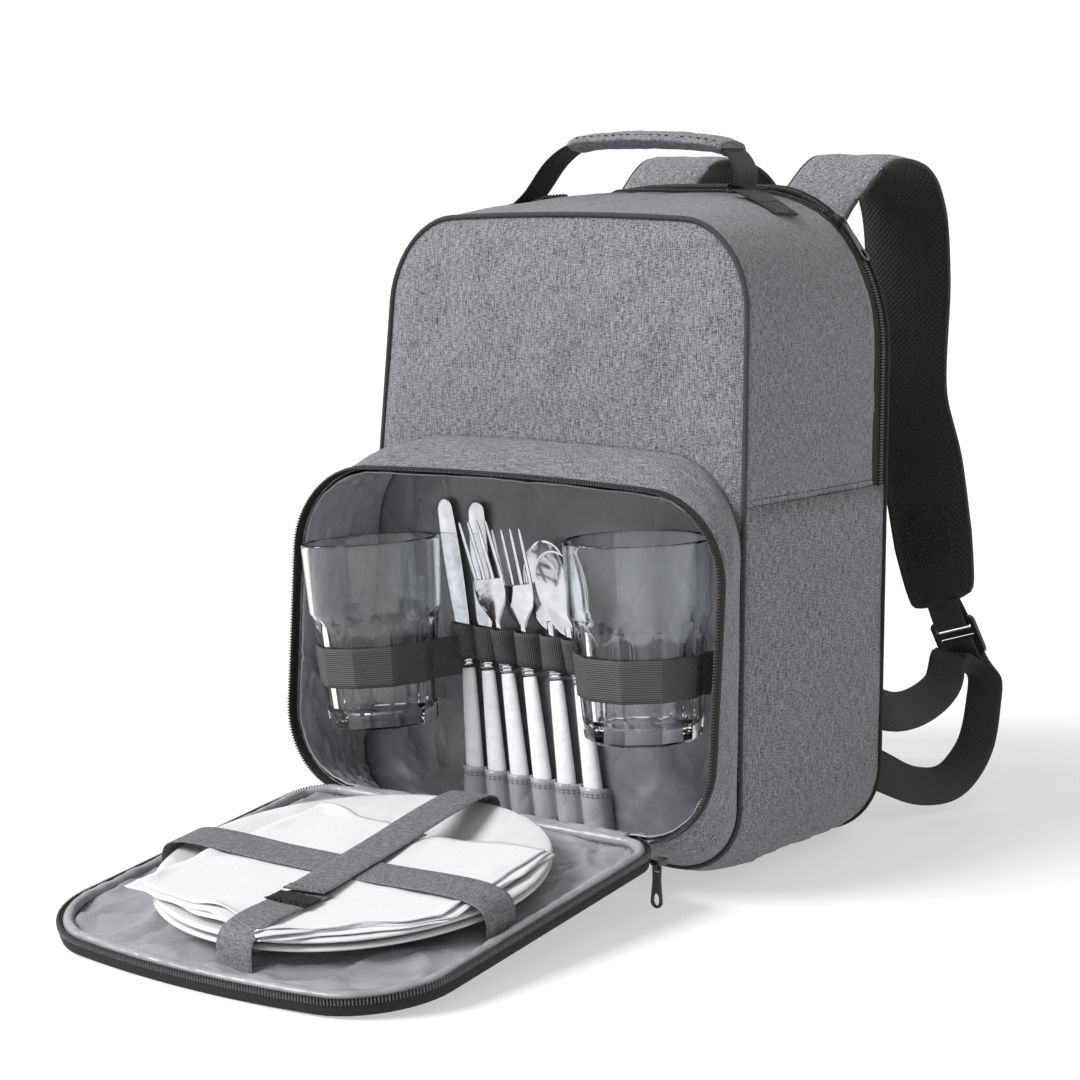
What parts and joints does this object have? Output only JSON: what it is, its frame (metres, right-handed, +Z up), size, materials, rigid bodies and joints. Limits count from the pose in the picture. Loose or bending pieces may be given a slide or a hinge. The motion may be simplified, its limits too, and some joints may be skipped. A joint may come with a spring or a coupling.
{
  "type": "picnic cooler backpack",
  "caption": "Heather-grey picnic cooler backpack with padded shoulder straps, standing with its front pocket unzipped and the flap down, fitted with glasses, cutlery, plates and napkins.",
  "frame": {"origin": "centre of the bag's flat base, on the surface it stands on", "axes": "X across the bag to the right seen from its front, Y from its front to its back, Z up"},
  "size_m": [0.3276, 0.5984, 0.4288],
  "materials": {
    "heather_fabric": "woven polyester mélange with a padded foam core",
    "piping": "covered cord piping",
    "lining": "wrinkled wipe-clean lining film",
    "back_mesh": "padded air mesh",
    "zip_tape": "woven zip tape with moulded teeth",
    "zip_metal": "black enamel",
    "webbing": "woven polyester webbing",
    "strap_plastic": "moulded acetal",
    "elastic": "ribbed woven elastic",
    "cutlery_steel": "polished stainless steel",
    "cutlery_handle": "smooth moulded white plastic",
    "clear_plastic": "clear acrylic",
    "plate": "white melamine",
    "napkin": "folded white cotton"
  },
  "bodies": {
    "bag": {"front_panel": "heather_fabric", "lower_gusset": "heather_fabric", "upper_gusset": "heather_fabric", "pocket_gusset": "heather_fabric", "flap_panel": "heather_fabric", "handle_grip": "heather_fabric", "shoulder_pad_right": "heather_fabric", "shoulder_pad_left": "heather_fabric", "front_piping": "piping", "pocket_lining": "lining", "pocket_lining_back": "lining", "flap_lining": "lining", "flap_binding": "lining", "flap_hinge": "lining", "cutlery_sleeve": "lining", "back_panel": "back_mesh", "top_zip_tape_front": "zip_tape", "top_zip_tape_rear": "zip_tape", "pocket_zip_tape": "zip_tape", "flap_zip_tape": "zip_tape", "top_zip_slider_right": "zip_metal", "top_zip_slider_left": "zip_metal", "pocket_zip_slider": "zip_metal", "handle_webbing": "webbing", "strap_webbing_right": "webbing", "strap_webbing_left": "webbing", "lock_loop_right": "webbing", "lock_loop_left": "webbing", "hook_patch": "webbing", "strap_lock_right": "strap_plastic", "strap_lock_left": "strap_plastic", "glass_band_left": "elastic", "glass_band_right": "elastic", "cutlery_band": "elastic", "plate_strap_cross": "elastic", "plate_strap_rear": "elastic", "plate_strap_front": "elastic", "knife_left_metal": "cutlery_steel", "knife_right_metal": "cutlery_steel", "fork_left_metal": "cutlery_steel", "fork_right_metal": "cutlery_steel", "spoon_left_metal": "cutlery_steel", "spoon_right_metal": "cutlery_steel", "knife_left_handle": "cutlery_handle", "knife_right_handle": "cutlery_handle", "fork_left_handle": "cutlery_handle", "fork_right_handle": "cutlery_handle", "spoon_left_handle": "cutlery_handle", "spoon_right_handle": "cutlery_handle", "glass_left": "clear_plastic", "glass_right": "clear_plastic", "plate_lower": "plate", "plate_upper": "plate", "napkin_left": "napkin", "napkin_right": "napkin"},
    "pocket_pull": {"pocket_zip_pull": "zip_metal"},
    "top_pull_right": {"top_zip_pull_right": "zip_metal"},
    "top_pull_left": {"top_zip_pull_left": "zip_metal"}
  },
  "joints": [
    {"name": "pocket_pull_swing", "type": "hinge", "parent": "bag", "child": "pocket_pull", "pos_m": [0.13304, -0.13876, 0.02669], "axis": [1, 0, 0], "range_deg": [-75, 40]},
    {"name": "top_pull_right_lift", "type": "hinge", "parent": "bag", "child": "top_pull_right", "pos_m": [0.10304, 0.09547, 0.37448], "axis": [0, -1, 0], "range_deg": [0, 140]},
    {"name": "top_pull_left_lift", "type": "hinge", "parent": "bag", "child": "top_pull_left", "pos_m": [-0.082, 0.09642, 0.38901], "axis": [0, 1, 0], "range_deg": [0, 140]}
  ]
}
